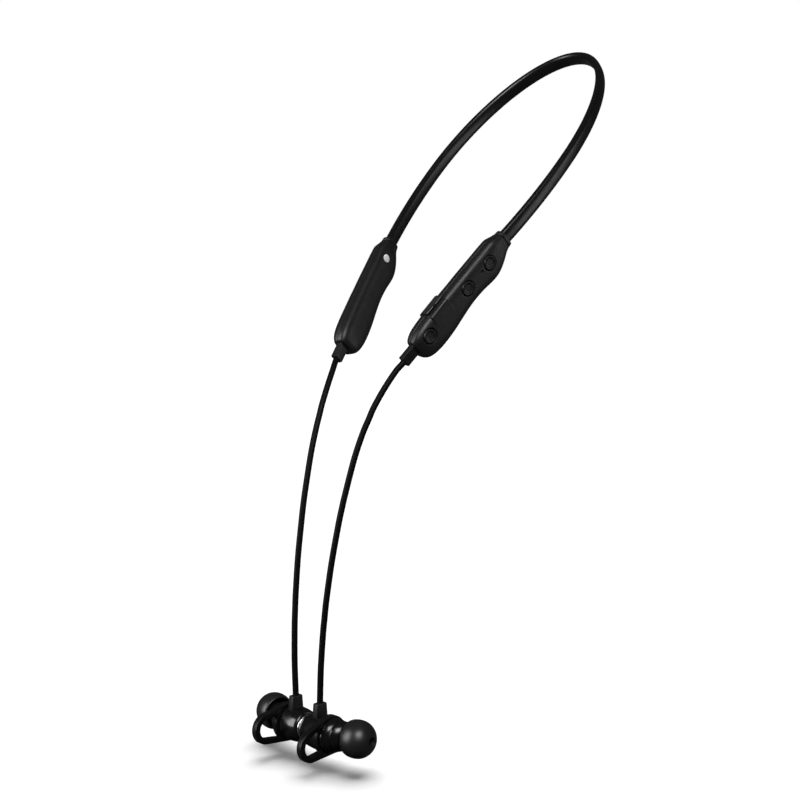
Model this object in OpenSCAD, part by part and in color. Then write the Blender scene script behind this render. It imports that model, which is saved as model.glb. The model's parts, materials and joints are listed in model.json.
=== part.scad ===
// Neckband earphones: a flexible neckband that carries a battery pod and a control pod,
// with a cord from each pod to an in-ear bud. The two buds hold together by magnets.
// Frame: +Z is up, +X is the wearer's left (the control pod), -Y is the wearer's front.
// The origin is the neck rest, which is the inner face of the band at its crown.

/* [Neckband] */
// width of the flat band, across the plane of the U
band_w = 5.2; // [4:0.1:7]
// thickness of the flat band
band_t = 2.8; // [2:0.1:4]
// wall of the silicone sleeve
sleeve_wall = 0.8; // [0.5:0.1:1.2]
// half of the widest spread of the U, to the centre line of the band
u_half_w = 32.3; // [28:0.1:60]
// length of the rounded crown, from the crown to the widest place
crown_len = 62.5; // [40:0.5:90]
// length of the whole U, from the crown to the pods
u_len = 104.4; // [80:0.1:160]
// half spread of the U where the band enters the pods
entry_half_w = 27.9; // [20:0.1:60]
// slope of the plane of the U, in degrees below level
u_tilt = 45; // [20:1:70]
// diameter of the memory wire in the band
memory_wire_d = 0.9; // [0.6:0.1:1.2]
// diameter of the bundle of signal wires in the band
wire_bundle_d = 1.0; // [0.6:0.1:1.2]

/* [Pods] */
// turn of a pod towards the middle, in degrees in the plane of the U
pod_turn = 11.3; // [0:0.1:20]
// drop of a pod below the plane of the U, in degrees
pod_drop = 2.5; // [0:0.1:10]
// wall of the pod shells
pod_wall = 0.9; // [0.7:0.1:1.5]
// roundness of a pod's cross-section: 1 is an ellipse, lower is squarer
pod_corner = 0.6; // [0.4:0.01:1]
// length of the strain relief below a pod
relief_len = 5.8; // [4:0.1:10]
// width of the strain relief below a pod
relief_w = 3.7; // [3:0.1:6]
// thickness of the strain relief below a pod
relief_t = 2.4; // [2:0.1:4]
// diameter of the round side badge
badge_d = 3.3; // [2:0.1:5]

/* [Buttons and port] */
// diameter of a button cap
button_d = 4.9; // [3:0.1:6]
// gap between a button cap and its hole, all round
button_gap = 0.3; // [0.2:0.05:0.5]
// travel of a button
button_travel = 0.4; // [0.3:0.1:1]
// diameter of the microphone hole
mic_hole_d = 1.0; // [0.6:0.1:1.5]
// length of the charging port's rubber flap
flap_len = 8.3; // [7:0.1:12]
// width of the flap
flap_w = 3; // [2.6:0.1:6]
// height that the flap stands proud of the pod
flap_proud = 0.6; // [0.3:0.1:1.5]

/* [Cords] */
// diameter of the cords to the buds
cord_d = 2.1; // [1.6:0.1:3]

/* [Buds] */
// place of the buds' axis behind (+) or ahead (-) of the neck rest
bud_y = -138.5; // [-160:0.5:-100]
// height of the buds' axis below the neck rest
bud_z = -236.2; // [-280:0.2:-180]
// radius of the barrel at its front
barrel_r = 5.9; // [5:0.1:7]
// length of the barrel, from the magnet face to the front housing
barrel_len = 11.4; // [9:0.1:15]
// wall of the barrel
barrel_wall = 0.7; // [0.5:0.1:1]
// radius of the metal ring round the magnet face
ring_r = 4.5; // [3.5:0.1:5.5]
// radius of the nozzle that the ear tip slides on
nozzle_r = 2.3; // [2:0.1:3]
// angle of the nozzle behind the barrel's axis, in degrees
nozzle_angle = 9; // [0:1:25]
// greatest radius of the ear tip
tip_r = 6.2; // [5:0.1:7.5]
// distance from the magnet face to the middle of the ear tip
tip_x = 21.0; // [18:0.1:26]
// offset of the ear tip behind the barrel's axis
tip_back = 2.5; // [0:0.1:4]
// offset of the ear tip above the barrel's axis
tip_up = 0.5; // [-2:0.1:2]

/* [Ear wings] */
// outer radius of the wing's sleeve
wing_sleeve_r = 6.5; // [6:0.1:8]
// thickness of the wing along the bud's axis
wing_t = 2.2; // [1.5:0.1:3]
// distance from the bud's axis to the middle of the wing's loop
loop_reach = 9.2; // [8:0.1:14]
// offset of the loop towards the ear tip, along the bud's axis
loop_cant = 1.2; // [0:0.1:3]
// outer radius of the wing's loop
loop_r = 5.2; // [4:0.1:7]
// thickness of the loop's rim
loop_rim = 2.0; // [1.2:0.1:3]
// turn of the left wing below the front, in degrees
left_wing_turn = 9; // [0:1:40]
// turn of the right wing below the front, in degrees
right_wing_turn = 5; // [0:1:40]

/* [Hidden] */
slope_dir = [0, -cos(u_tilt), -sin(u_tilt)];
plane_up = [0, -sin(u_tilt), cos(u_tilt)];
crown_centre = -slope_dir * band_t / 2;
leg_bend = (u_half_w - entry_half_w) / pow(u_len - crown_len, 2);
crown_steps = 22;
leg_steps = 8;
wire_sides = 8;
band_into_pod = 1.5;
band_corner = band_t / 2 - 0.1;
sleeve_bore_corner = 0.5;
wire_offset = 0.95;

pod_axis = unit([-sin(pod_turn), 0, 0]
    + cos(pod_turn) * (cos(pod_drop) * slope_dir - sin(pod_drop) * plane_up));
pod_front = unit(plane_up - (plane_up * pod_axis) * pod_axis);
pod_out = cross(pod_front, pod_axis);
pod_origin = crown_centre + slope_dir * u_len + [entry_half_w, 0, 0];

// a pod's shape down its length: [place, front edge, rear edge, half thickness]
pod_rows = [
    [0, 3.1, 3.1, 2.0],
    [1.4, 3.3, 3.3, 2.2],
    [3.5, 3.9, 3.8, 2.7],
    [6, 4.8, 5.0, 3.2],
    [9, 4.95, 6.3, 3.4],
    [12, 4.95, 6.85, 3.5],
    [15, 4.95, 6.7, 3.5],
    [18.5, 4.95, 6.2, 3.5],
    [23, 4.95, 5.95, 3.5],
    [27, 4.9, 6.15, 3.5],
    [31.5, 4.9, 6.7, 3.55],
    [36, 4.8, 7.35, 3.6],
    [41, 4.7, 7.7, 3.65],
    [45, 4.5, 7.6, 3.65],
    [48, 4.1, 7.1, 3.5],
    [50.2, 3.4, 6.2, 3.1],
    [51.8, 2.5, 4.6, 2.3]
];
row_steps = 2;
half_loop_steps = 12;
pod_len = pod_rows[len(pod_rows) - 1][0];
pod_face = 3.5;
relief_x = -0.6;
relief_bore = 2.5;
relief_into_pod = 2;
relief_plug = [5.1, 2.6, 2];
relief_plug_x = -1.05;
badge_t = 0.45;
badge_sunk = 0.3;
badge_fit = 0.02;
battery = [5.8, 4.4, 30];
battery_place = [-0.6, 0, 28];
small_board = [6.4, 0.8, 6];
small_board_place = [0, 0, 9];

button_places = [[0.4, 11.9], [0.6, 24.2], [0.2, 45.8]];
mic_place = [0.5, 16.2];
badge_place = [1.3, 10.3];
button_foot = 2.5;
button_top = 3.8;
board_y = 0.2;
board_t = 0.6;
board = [7.4, board_t, 40];
board_place = [-0.9, board_y + board_t / 2, 29];
switch_h = button_foot - button_travel - 0.1 - board_y - board_t;
switch_w = 3;
switch_pin = [0.8, 0.4];
mic_body = [2.4, 1, 1.8];
hole_foot = 2.2;
hole_cut = 3;
button_dish = 0.15;
button_lip = 0.7;
port_z = 37;
port_mouth = [7, 2];
port_margin = 0.4;
port_cut = 3;
port_front = 4.75;
socket = [4.6, 2.6, 7.6];
socket_x = 1.2;
socket_wall = 0.3;
socket_back = 0.8;
socket_gap = 0.4;
flap_plug = [0.9, port_mouth[1] - 0.2, port_mouth[0] - 1.2];
flap_plug_shift = -0.2;
flap_t = flap_proud + 0.15;
flap_face = port_front + 0.2;

cord_gap = 0.05;
cord_steps = 2;
cord_start = pod_point([relief_x, 0, pod_len + relief_len + cord_gap + cord_d / 2]);
collar_x = 6.1;
collar_y = -0.5;
collar_top = 9.9;
collar_base = 5;
cord_end = [collar_x, bud_y + collar_y, bud_z + collar_top];
// the left cord hangs from the pod to the bud through these places; the bud's swing turns
// about the first one
cord_route = concat([cord_start], [
    [15.4, -113.2, -118],
    [14, -117, -123.5],
    [12.8, -120.6, -129.5],
    [12.2, -122.6, -133.7],
    [11.6, -124.6, -138],
    [10.8, -127.6, -146],
    [9.9, -130.9, -157.5],
    [9.5, -132.3, -163],
    [9.1, -133.5, -168.5],
    [8.4, -135.7, -180],
    [7.7, -137.4, -192],
    [7.4, -138, -198],
    [7.1, -138.5, -204],
    [6.6, -139, -215]
], [cord_end]);

collar_foot_w = 5;
collar_top_w = 4.1;
collar_t = 2.4;
magnet_face = 0.1;
magnet_len = 2;
ring_band = 0.9;
ring_len = 0.8;
rear_rim = 3.9;
magnet_lip = 1.4;
rear_r = 4.7;
wing_x = 8.9;
groove_r = 5.25;
groove_wall = 0.55;
bud_fit = 0.05;
driver_x = 6.5;
driver_len = 2.6;
driver_back = [3.2, 1.6];
housing_gap = 0.05;
housing_bore = [4.2, 3];
nozzle_len = 9.0;
nozzle_top = 3.6;
nozzle_wall = 0.7;
mesh_place = 3.0;
mesh_t = 0.3;
wing_gap = 0.1;
wing_clear = 0.15;
loop_hole_r = loop_r - loop_rim;

// the front housing from the barrel to its dome: [distance from the magnet face, radius,
// share of the ear tip's offset]
housing_rows = [
    [barrel_len + housing_gap, 5.7, 0],
    [12.3, 5.7, 0.1],
    [13.2, 5.45, 0.25],
    [13.9, 5.1, 0.35],
    [14.1, 4.9, 0.38],
    [14.35, 4.9, 0.4],
    [14.6, 5, 0.43],
    [15.3, 4.8, 0.52],
    [16.2, 4.35, 0.62],
    [17, 3.7, 0.7],
    [17.5, 2.9, 0.75]
];
housing_sides = 48;

$fn = 64;

// ---- helper functions ----

function unit(v) = v / norm(v);

function pod_point(p) = pod_origin + p[0] * pod_front + p[1] * pod_out + p[2] * pod_axis;

// a point on a smooth curve through p1 and p2, at t from 0 to 1 between them
function smooth_between(p0, p1, p2, p3, t) =
    0.5 * (2 * p1 + (p2 - p0) * t + (2 * p0 - 5 * p1 + 4 * p2 - p3) * t * t
    + (3 * p1 - p0 - 3 * p2 + p3) * t * t * t);

// a list of points or rows, with steps points on the smooth curve for each span
function smoothed(rows, steps) = concat(
    [for (i = [0 : len(rows) - 2])
        for (k = [0 : steps - 1])
            smooth_between(rows[max(i - 1, 0)], rows[i], rows[i + 1],
                rows[min(i + 2, len(rows) - 1)], k / steps)],
    [rows[len(rows) - 1]]
);

// the band's centre line in the plane of the U: [sideways, down the slope]
function crown_point(angle) = [u_half_w * sin(angle), crown_len * (1 - cos(angle))];
function leg_point(side, s) = [side * (u_half_w - leg_bend * pow(s - crown_len, 2)), s];
function leg_place(k) = crown_len + (u_len + band_into_pod - crown_len) * k / leg_steps;
band_line = concat(
    [for (k = [leg_steps : -1 : 1]) leg_point(-1, leg_place(k))],
    [for (k = [-crown_steps / 2 : crown_steps / 2]) crown_point(180 * k / crown_steps)],
    [for (k = [1 : leg_steps]) leg_point(1, leg_place(k))]
);

// a rounded rectangle of 16 points, as half sizes a and b with corner radius r
function rounded_loop(a, b, r) = [
    for (corner = [[1, 1, 0], [-1, 1, 90], [-1, -1, 180], [1, -1, 270]])
        for (k = [0 : 3])
            [corner[0] * (a - r) + r * cos(corner[2] + 30 * k),
             corner[1] * (b - r) + r * sin(corner[2] + 30 * k)]
];

function round_loop(r, n) = [for (k = [0 : n - 1]) [r * cos(360 * k / n), r * sin(360 * k / n)]];

// rings of a section along the band; offset moves the section across the band's width
function band_rings(loop, offset) = [
    for (i = [0 : len(band_line) - 1])
        let (
            before = band_line[max(i - 1, 0)],
            after = band_line[min(i + 1, len(band_line) - 1)],
            along = unit(after - before),
            centre = [band_line[i][0], 0, 0] + band_line[i][1] * slope_dir + crown_centre,
            across = [-along[1], 0, 0] + along[0] * slope_dir
        )
        [for (p = loop) centre + (p[0] + offset) * plane_up + p[1] * across]
];

// one round ring about a place, square to the direction along
function tube_ring(place, along, r, n) =
    let (
        side = unit(cross(along, [1, 0, 0])),
        up = cross(side, along)
    )
    [for (p = round_loop(r, n)) place + p[0] * side + p[1] * up];

// round rings along a line of points, with a rounded nose at its start
function tube_rings(line, r, n) =
    let (
        last = len(line) - 1,
        first = unit(line[1] - line[0])
    )
    concat(
        [for (nose = [[0.9, 0.43], [0.6, 0.8]])
            tube_ring(line[0] - nose[0] * r * first, first, nose[1] * r, n)],
        [for (i = [0 : last])
            tube_ring(line[i], unit(line[min(i + 1, last)] - line[max(i - 1, 0)]), r, n)]
    );

// half of a pod's section on the outer side, shrunk by inset, from front to rear
function pod_half_loop(row, inset) = [
    for (k = [0 : half_loop_steps])
        let (
            c = cos(180 * k / half_loop_steps),
            s = sin(180 * k / half_loop_steps),
            middle = (row[1] - row[2]) / 2,
            reach = (row[1] + row[2]) / 2 - inset
        )
        [middle + reach * sign(c) * pow(abs(c), pod_corner),
         (row[3] - inset) * pow(max(s, 0), pod_corner),
         row[0]]
];

function backwards(list) = [for (i = [len(list) - 1 : -1 : 0]) list[i]];

// ---- helper modules ----

// a solid through closed rings that all have the same even number of points
module skin(rings) {
    n = len(rings[0]);
    last = (len(rings) - 1) * n;
    sides = [
        for (i = [0 : len(rings) - 2])
            for (j = [0 : n - 1])
                let (a = i * n + j, b = i * n + (j + 1) % n)
                for (face = [[a, b, b + n], [a, b + n, a + n]]) face
    ];
    caps = [
        for (j = [0 : n / 2 - 2])
            let (a = j, b = j + 1, c = n - 2 - j, d = n - 1 - j)
            for (face = [
                [d, c, b], [d, b, a],
                [last + a, last + b, last + c], [last + a, last + c, last + d]
            ]) face
    ];
    polyhedron([for (ring = rings) for (p = ring) p], concat(sides, caps), convexity = 6);
}

// a tube between outer rings and inner rings
module skin_tube(outer, inner) {
    n = len(outer[0]);
    count = len(outer);
    shift = count * n;
    last = (count - 1) * n;
    sides = [
        for (i = [0 : count - 2])
            for (j = [0 : n - 1])
                let (a = i * n + j, b = i * n + (j + 1) % n)
                for (face = [
                    [a, b, b + n], [a, b + n, a + n],
                    [shift + b, shift + a, shift + a + n], [shift + b, shift + a + n, shift + b + n]
                ]) face
    ];
    caps = [
        for (j = [0 : n - 1])
            let (a = j, b = (j + 1) % n)
            for (face = [
                [b, a, shift + a], [b, shift + a, shift + b],
                [last + a, last + b, shift + last + b], [last + a, shift + last + b, shift + last + a]
            ]) face
    ];
    points = [for (ring = concat(outer, inner)) for (p = ring) p];
    polyhedron(points, concat(sides, caps), convexity = 6);
}

// places children in the control pod: X to its front edge, Y out, Z down its length
module in_left_pod() {
    multmatrix([
        [pod_front[0], -pod_out[0], pod_axis[0], pod_origin[0]],
        [pod_front[1], -pod_out[1], pod_axis[1], pod_origin[1]],
        [pod_front[2], -pod_out[2], pod_axis[2], pod_origin[2]],
        [0, 0, 0, 1]
    ])
        mirror([0, 1, 0])
            children();
}

module in_right_pod() {
    mirror([1, 0, 0])
        in_left_pod()
            children();
}

// half of a pod's shell; side is 1 for the outer half and -1 for the inner half
module half_shell(side) {
    rows = smoothed(pod_rows, row_steps);
    loops = [
        for (row = rows)
            let (
                outer = pod_half_loop(row, 0),
                inner = backwards(pod_half_loop(row, pod_wall)),
                loop = concat(outer, inner)
            )
            side > 0 ? loop : backwards([for (p = loop) [p[0], -p[1], p[2]]])
    ];
    skin(loops);
}

// places children on a pod's broad face at a [front, down] place, with Z facing out
module on_face(place, height) {
    translate([place[0], height, place[1]])
        rotate([-90, 0, 0])
            children();
}

module bar(size, centre) {
    translate(centre - size / 2)
        cube(size);
}

// places children on the left bud's axis: Z runs from the magnet face to the ear tip
module in_left_bud() {
    translate([0, bud_y, bud_z])
        rotate([0, 90, 0])
            children();
}

module in_right_bud() {
    mirror([1, 0, 0])
        in_left_bud()
            children();
}

// places children on the nozzle's axis, with the origin in the middle of the ear tip
module on_nozzle() {
    translate([-tip_up, tip_back, tip_x])
        rotate([-nozzle_angle, 0, 0])
            children();
}

// ---- neckband ----

module neckband_sleeve() {
    outer = rounded_loop(band_w / 2, band_t / 2, band_corner);
    inner = rounded_loop(band_w / 2 - sleeve_wall, band_t / 2 - sleeve_wall,
        sleeve_bore_corner);
    color("#1c1c1e")
        skin_tube(band_rings(outer, 0), band_rings(inner, 0));
}

module memory_wire() {
    color("#b9bcc0")
        skin(band_rings(round_loop(memory_wire_d / 2, wire_sides), wire_offset));
}

module band_wires() {
    color("#7a3b2a")
        skin(band_rings(round_loop(wire_bundle_d / 2, wire_sides), -wire_offset));
}

// ---- pods ----

module pod_relief() {
    color("#202022")
        difference() {
            union() {
                bar([relief_w, relief_t, relief_len + relief_into_pod],
                    [relief_x, 0, pod_len + (relief_len - relief_into_pod) / 2]);
                bar(relief_plug, [relief_plug_x, 0, pod_len - relief_plug[2] / 2]);
            }
            translate([relief_x, 0, pod_len + relief_len - relief_bore])
                cylinder(h = relief_bore + 1, r = cord_d / 4);
        }
}

module round_badge() {
    color("#f2f2f2")
        on_face(badge_place, badge_sunk - pod_face - badge_t)
            cylinder(h = badge_t, r = badge_d / 2);
}

module badge_seat() {
    on_face(badge_place, -pod_face)
        cylinder(h = 2 * badge_sunk, r = badge_d / 2 + badge_fit, center = true);
}

module right_outer_shell() {
    color("#232325")
        in_right_pod()
            half_shell(1);
}

module right_inner_shell() {
    color("#232325")
        in_right_pod()
            difference() {
                half_shell(-1);
                badge_seat();
            }
}

module right_badge() {
    in_right_pod()
        round_badge();
}

module battery_cell() {
    color("#8d98a6")
        in_right_pod()
            bar(battery, battery_place);
}

module battery_board() {
    color("#1d6b3a")
        in_right_pod()
            bar(small_board, small_board_place);
}

module right_relief() {
    in_right_pod()
        pod_relief();
}

module left_outer_shell() {
    color("#232325")
        in_left_pod()
            difference() {
                half_shell(1);
                for (place = button_places)
                    on_face(place, hole_foot)
                        cylinder(h = hole_cut, r = button_d / 2 + button_gap);
                on_face(mic_place, hole_foot)
                    cylinder(h = hole_cut, r = mic_hole_d / 2);
                port_opening();
            }
}

module left_inner_shell() {
    color("#232325")
        in_left_pod()
            difference() {
                half_shell(-1);
                badge_seat();
                port_opening();
            }
}

module port_opening() {
    bar([port_cut, port_mouth[1] + port_margin, port_mouth[0] + port_margin],
        [port_front, 0, port_z]);
}

module left_badge() {
    in_left_pod()
        round_badge();
}

module main_board() {
    color("#1d6b3a")
        in_left_pod()
            difference() {
                bar(board, board_place);
                bar([socket[0] + socket_gap, socket[1], socket[2] + socket_gap],
                    [socket_x + socket_gap / 2, 0, port_z]);
            }
}

module tact_switch(place) {
    color("#c9ccd0")
        in_left_pod()
            union() {
                bar([switch_w, switch_h - switch_pin[1], switch_w],
                    [place[0], board_y + board_t + (switch_h - switch_pin[1]) / 2, place[1]]);
                on_face(place, board_y + board_t)
                    cylinder(h = switch_h, r = switch_pin[0]);
            }
}

module upper_switch() {
    tact_switch(button_places[0]);
}

module middle_switch() {
    tact_switch(button_places[1]);
}

module lower_switch() {
    tact_switch(button_places[2]);
}

module charging_socket() {
    color("#c4c6ca")
        in_left_pod()
            difference() {
                bar(socket, [socket_x, 0, port_z]);
                bar([socket[0], socket[1] - 2 * socket_wall, socket[2] - 2 * socket_wall],
                    [socket_x + socket_back, 0, port_z]);
            }
}

module microphone() {
    color("#d7d0b4")
        in_left_pod()
            bar(mic_body, [mic_place[0], board_y + board_t + mic_body[1] / 2, mic_place[1]]);
}

module left_relief() {
    in_left_pod()
        pod_relief();
}

// a cap with a shallow dished top and a foot that keeps it in its hole
module button_cap(place) {
    color("#2a2a2c")
        in_left_pod()
            on_face(place, button_foot)
                difference() {
                    cylinder(h = button_top - button_foot, r = button_d / 2);
                    translate([0, 0, button_top - button_foot - button_dish])
                        cylinder(h = 1, r = button_d / 2 - button_lip);
                }
}

module upper_button() {
    button_cap(button_places[0]);
}

module middle_button() {
    button_cap(button_places[1]);
}

module lower_button() {
    button_cap(button_places[2]);
}

module port_flap() {
    color("#2b2b2d")
        in_left_pod() {
            bar([flap_t, flap_w, flap_len], [flap_face + flap_t / 2, 0, port_z]);
            bar(flap_plug, [flap_face - flap_plug[0] / 2 + 0.05, 0, port_z + flap_plug_shift]);
        }
}

// ---- cords ----

module left_cord() {
    color("#161617")
        skin(tube_rings(smoothed(cord_route, cord_steps), cord_d / 2, 8));
}

module right_cord() {
    color("#161617")
        mirror([1, 0, 0])
            skin(tube_rings(smoothed(cord_route, cord_steps), cord_d / 2, 8));
}

// ---- buds ----

// tapered block that takes the cord, with its foot moulded round the barrel
module bud_collar() {
    color("#202022")
        difference() {
            translate([-collar_base, collar_y, collar_x - collar_t / 2])
                linear_extrude(height = collar_t)
                    polygon([
                        [0, -collar_foot_w / 2],
                        [0, collar_foot_w / 2],
                        [-(collar_top - collar_base), collar_top_w / 2],
                        [-(collar_top - collar_base), -collar_top_w / 2]
                    ]);
            cylinder(h = barrel_len, r = barrel_r - barrel_wall / 2);
        }
}

// the turned profiles below are lists of [radius, distance from the magnet face]
module bud_barrel() {
    inner = groove_r - groove_wall;
    color("#0c0c0d")
        rotate_extrude()
            polygon([
                [ring_r - ring_band, ring_len + magnet_face],
                [rear_r, ring_len + magnet_face],
                [rear_r + 0.5, ring_len + magnet_face + 0.2],
                [rear_r + 0.8, ring_len + magnet_face + 0.7],
                [barrel_r - 0.1, rear_rim],
                [barrel_r, wing_x - 0.4],
                [barrel_r - 0.1, wing_x],
                [groove_r, wing_x],
                [groove_r, wing_x + wing_t],
                [groove_r, barrel_len],
                [inner, barrel_len],
                [inner, rear_rim],
                [ring_r - ring_band, rear_rim - magnet_lip]
            ]);
}

module bud_ring() {
    color("#e3e5e8")
        rotate_extrude()
            polygon([
                [ring_r - ring_band, magnet_face],
                [ring_r - 0.2, magnet_face],
                [ring_r, magnet_face + 0.3],
                [ring_r, magnet_face + ring_len],
                [ring_r - ring_band, magnet_face + ring_len]
            ]);
}

module bud_magnet() {
    color("#9fa3a8")
        translate([0, 0, magnet_face + 0.1])
            cylinder(h = magnet_len, r = ring_r - ring_band);
}

module bud_driver() {
    color("#6d7278")
        translate([0, 0, driver_x])
            union() {
                cylinder(h = driver_len, r = groove_r - groove_wall);
                translate([0, 0, -driver_back[1]])
                    cylinder(h = driver_back[1], r = driver_back[0]);
            }
}

module bud_front_housing() {
    rings = [
        for (row = housing_rows)
            [for (p = backwards(round_loop(row[1], housing_sides)))
                [p[0] - row[2] * tip_up, p[1] + row[2] * tip_back, row[0]]]
    ];
    color("#0c0c0d")
        difference() {
            union() {
                skin(rings);
                on_nozzle()
                    translate([0, 0, nozzle_top - nozzle_len])
                        cylinder(h = nozzle_len, r = nozzle_r);
            }
            on_nozzle()
                translate([0, 0, -nozzle_len])
                    cylinder(h = nozzle_len * 2, r = nozzle_r - nozzle_wall);
            translate([0, 0, barrel_len - 1])
                cylinder(h = housing_bore[1], r = housing_bore[0]);
        }
}

module bud_nozzle_mesh() {
    color("#3a3c40")
        on_nozzle()
            translate([0, 0, mesh_place])
                cylinder(h = mesh_t, r = nozzle_r - nozzle_wall + badge_fit);
}

// mushroom of soft silicone: a dome with a rolled skirt round a stem, as [radius, height]
module bud_ear_tip() {
    bore = nozzle_r + bud_fit;
    color("#3b3b3e")
        on_nozzle()
            rotate_extrude()
                polygon([
                    [bore, -2.8],
                    [bore + 0.8, -2.8],
                    [bore + 0.9, 1.5],
                    [bore + 1.6, 3.2],
                    [4.3, 2.9],
                    [5.3, 0.8],
                    [5.4, -1.2],
                    [4.9, -2.9],
                    [5.4, -3.3],
                    [tip_r - 0.3, -2.2],
                    [tip_r, -0.4],
                    [tip_r - 0.15, 1.2],
                    [tip_r - 0.9, 3.2],
                    [tip_r - 2.2, 4.8],
                    [tip_r - 3.7, 5.8],
                    [1.9, 5.9],
                    [1.6, 5.3],
                    [1.6, 3.9],
                    [bore, 3.9]
                ]);
}

// a hull round a bud's axis and the middle of the loop, which is lift further along the axis
module loop_hull(axis_r, loop_r, height, lift) {
    hull() {
        cylinder(h = height, r = axis_r);
        translate([loop_reach, 0, lift])
            cylinder(h = height, r = loop_r);
    }
}

// soft loop on a sleeve that sits in the barrel's groove; turn is below the front
module bud_ear_wing(turn) {
    cut = 2 * wing_t;
    color("#2c2c2f")
        translate([0, 0, wing_x + wing_gap])
            rotate([0, 0, turn - 90])
                difference() {
                    loop_hull(wing_sleeve_r, loop_r, wing_t, loop_cant);
                    difference() {
                        translate([0, 0, -wing_t])
                            loop_hull(wing_sleeve_r - loop_rim, loop_hole_r, 2 * cut, 0);
                        cylinder(h = wing_t + loop_cant + 1, r = wing_sleeve_r);
                    }
                    translate([0, 0, -wing_t])
                        cylinder(h = 2 * cut, r = groove_r + bud_fit);
                    translate([0, 0, wing_t])
                        cylinder(h = cut, r = barrel_r + wing_clear);
                }
}

module left_collar() {
    in_left_bud()
        bud_collar();
}

module left_barrel() {
    in_left_bud()
        bud_barrel();
}

module left_ring() {
    in_left_bud()
        bud_ring();
}

module left_magnet() {
    in_left_bud()
        bud_magnet();
}

module left_driver() {
    in_left_bud()
        bud_driver();
}

module left_front_housing() {
    in_left_bud()
        bud_front_housing();
}

module left_nozzle_mesh() {
    in_left_bud()
        bud_nozzle_mesh();
}

module left_ear_tip() {
    in_left_bud()
        bud_ear_tip();
}

module left_ear_wing() {
    in_left_bud()
        bud_ear_wing(left_wing_turn);
}

module right_collar() {
    in_right_bud()
        bud_collar();
}

module right_barrel() {
    in_right_bud()
        bud_barrel();
}

module right_ring() {
    in_right_bud()
        bud_ring();
}

module right_magnet() {
    in_right_bud()
        bud_magnet();
}

module right_driver() {
    in_right_bud()
        bud_driver();
}

module right_front_housing() {
    in_right_bud()
        bud_front_housing();
}

module right_nozzle_mesh() {
    in_right_bud()
        bud_nozzle_mesh();
}

module right_ear_tip() {
    in_right_bud()
        bud_ear_tip();
}

module right_ear_wing() {
    in_right_bud()
        bud_ear_wing(right_wing_turn);
}

// ---- drawing ----

neckband_sleeve();
memory_wire();
band_wires();
right_outer_shell();
right_inner_shell();
right_badge();
battery_cell();
battery_board();
right_relief();
left_outer_shell();
left_inner_shell();
left_badge();
main_board();
upper_switch();
middle_switch();
lower_switch();
charging_socket();
microphone();
left_relief();
upper_button();
middle_button();
lower_button();
port_flap();
left_cord();
left_collar();
left_barrel();
left_ring();
left_magnet();
left_driver();
left_front_housing();
left_nozzle_mesh();
left_ear_tip();
left_ear_wing();
right_cord();
right_collar();
right_barrel();
right_ring();
right_magnet();
right_driver();
right_front_housing();
right_nozzle_mesh();
right_ear_tip();
right_ear_wing();
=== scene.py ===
"""Looks, light and camera for the neckband earphones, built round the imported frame.

Lengths are in millimetres until a piece is placed. The frame is the CAD's: +Z up, +X the
wearer's left, -Y the wearer's front, and the origin at the neck rest.
"""
import json
import math

import bmesh
import bpy
from mathutils import Matrix, Vector


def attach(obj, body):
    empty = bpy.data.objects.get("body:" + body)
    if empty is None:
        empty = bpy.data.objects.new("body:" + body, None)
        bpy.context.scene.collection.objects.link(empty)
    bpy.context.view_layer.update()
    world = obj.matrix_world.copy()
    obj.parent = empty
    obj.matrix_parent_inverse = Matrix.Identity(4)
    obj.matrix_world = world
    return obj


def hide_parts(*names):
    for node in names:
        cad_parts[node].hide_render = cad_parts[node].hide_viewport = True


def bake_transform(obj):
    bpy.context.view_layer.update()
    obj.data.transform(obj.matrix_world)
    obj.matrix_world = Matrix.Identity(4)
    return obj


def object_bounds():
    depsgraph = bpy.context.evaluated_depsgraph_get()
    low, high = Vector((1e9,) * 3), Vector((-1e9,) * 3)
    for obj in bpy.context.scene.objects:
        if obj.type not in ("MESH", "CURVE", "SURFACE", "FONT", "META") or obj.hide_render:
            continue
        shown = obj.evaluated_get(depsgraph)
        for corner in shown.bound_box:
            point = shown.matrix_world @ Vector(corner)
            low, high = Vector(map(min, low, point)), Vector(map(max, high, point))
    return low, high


MM = 0.001

# neckband, as in the CAD
BAND_W, BAND_T = 5.2, 2.8
U_HALF_W, CROWN_LEN, U_LEN, ENTRY_HALF_W = 32.3, 62.5, 104.4, 27.9
U_TILT = math.radians(45)
BAND_INTO_POD = 1.5

# pods, as in the CAD
POD_TURN, POD_DROP = math.radians(11.3), math.radians(2.5)
POD_WALL, POD_CORNER = 0.9, 0.6
# a pod's shape down its length: [place, front edge, rear edge, half thickness]
POD_ROWS = [
    (0, 3.1, 3.1, 2.0), (1.4, 3.3, 3.3, 2.2), (3.5, 3.9, 3.8, 2.7), (6, 4.8, 5.0, 3.2),
    (9, 4.95, 6.3, 3.4), (12, 4.95, 6.85, 3.5), (15, 4.95, 6.7, 3.5), (18.5, 4.95, 6.2, 3.5),
    (23, 4.95, 5.95, 3.5), (27, 4.9, 6.15, 3.5), (31.5, 4.9, 6.7, 3.55), (36, 4.8, 7.35, 3.6),
    (41, 4.7, 7.7, 3.65), (45, 4.5, 7.6, 3.65), (48, 4.1, 7.1, 3.5), (50.2, 3.4, 6.2, 3.1),
    (51.8, 2.5, 4.6, 2.3),
]
POD_LEN = POD_ROWS[-1][0]
RELIEF_X, RELIEF_LEN, RELIEF_W, RELIEF_T = -0.6, 5.8, 3.7, 2.4
RELIEF_PLUG, RELIEF_SUNK = (5.1, 2.6, 2), 1.02
BADGE_PLACE, BADGE_R, BADGE_FACE = (1.3, 10.3), 1.65, 3.65
BADGE_T, BADGE_EDGE, BADGE_SEAT = 0.45, 0.12, 0.15

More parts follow.
